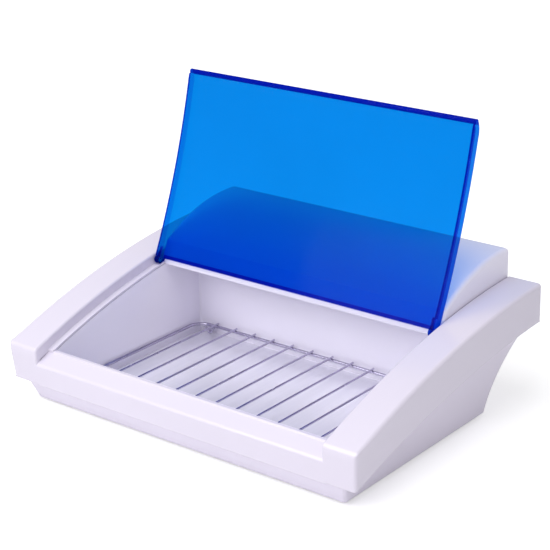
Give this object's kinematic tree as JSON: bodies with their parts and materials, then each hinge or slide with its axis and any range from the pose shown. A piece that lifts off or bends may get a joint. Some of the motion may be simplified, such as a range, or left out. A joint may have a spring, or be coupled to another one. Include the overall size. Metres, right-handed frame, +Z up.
{
  "type": "tool steriliser cabinet",
  "caption": "Tabletop ultraviolet tool steriliser with a tinted flip-up lid over an open chamber, a lift-out wire rack and a curved rear hood.",
  "frame": {"origin": "middle of the housing seen from above, at the face the rubber feet stand on", "axes": "+X to the right along the housing's width, +Y from the front face to the back, +Z up"},
  "size_m": [0.38, 0.276, 0.2644],
  "materials": {
    "shell_plastic": "glossy white moulded ABS with a faint lavender cast",
    "base_plastic": "semi-gloss white moulded ABS",
    "liner_plastic": "smooth glossy white",
    "bright_sheet": "bright rolled sheet",
    "reflector_sheet": "polished",
    "plated_sheet": "zinc plated, satin",
    "lid_plastic": "clear blue tinted, polished",
    "chrome_wire": "bright plated wire",
    "hinge_steel": "turned steel",
    "cam_plastic": "natural acetal",
    "holder_plastic": "moulded",
    "lamp_glass": "clear quartz-like tube",
    "lamp_cap": "pressed caps",
    "contact_brass": "pins",
    "ballast_steel": "grey lacquer",
    "starter_plastic": "moulded canister",
    "wire_jacket": "soft white jacket",
    "black_plastic": "fine texture",
    "foot_rubber": "matt",
    "screw_steel": "zinc plated"
  },
  "bodies": {
    "housing": {"upper_shell": "shell_plastic", "hood_cover": "shell_plastic", "base_tub": "base_plastic", "chamber_liner": "liner_plastic", "floor_plate": "bright_sheet", "rear_panel": "base_plastic", "chassis_plate": "plated_sheet", "lamp_reflector": "reflector_sheet", "lamp_holders": "holder_plastic", "ballast": "ballast_steel", "starter_socket": "holder_plastic", "starter": "starter_plastic", "terminal_block": "holder_plastic", "lead_wires": "wire_jacket", "power_inlet": "black_plastic", "inlet_pins": "contact_brass", "switch_frame": "black_plastic", "interlock_switch": "black_plastic", "rubber_feet": "foot_rubber", "base_screws": "screw_steel", "panel_screws": "screw_steel"},
    "lid": {"lid_panel": "lid_plastic", "hinge_pins": "hinge_steel", "interlock_cam": "cam_plastic"},
    "rack": {"rack_rim": "chrome_wire", "rack_wires": "chrome_wire", "rack_legs": "chrome_wire"},
    "lamp": {"lamp_tube": "lamp_glass", "lamp_caps": "lamp_cap", "lamp_pins": "contact_brass", "holder_rotors": "holder_plastic"},
    "rocker": {"rocker": "black_plastic"}
  },
  "joints": [
    {"name": "lid_hinge", "type": "hinge", "parent": "housing", "child": "lid", "pos_m": [0, 0.0225, 0.094], "axis": [1, 0, 0], "range_deg": [0, 125]},
    {"name": "rack_lift", "type": "slide", "parent": "housing", "child": "rack", "axis": [0, 0, 1], "range_m": [0, 0.038]},
    {"name": "lamp_twist", "type": "hinge", "parent": "housing", "child": "lamp", "pos_m": [0, 0.056, 0.098], "axis": [1, 0, 0], "range_deg": [0, 90]},
    {"name": "switch_rock", "type": "hinge", "parent": "housing", "child": "rocker", "pos_m": [0.062, 0.1325, 0.0905], "axis": [0, 0, 1], "range_deg": [-20, 0]}
  ]
}
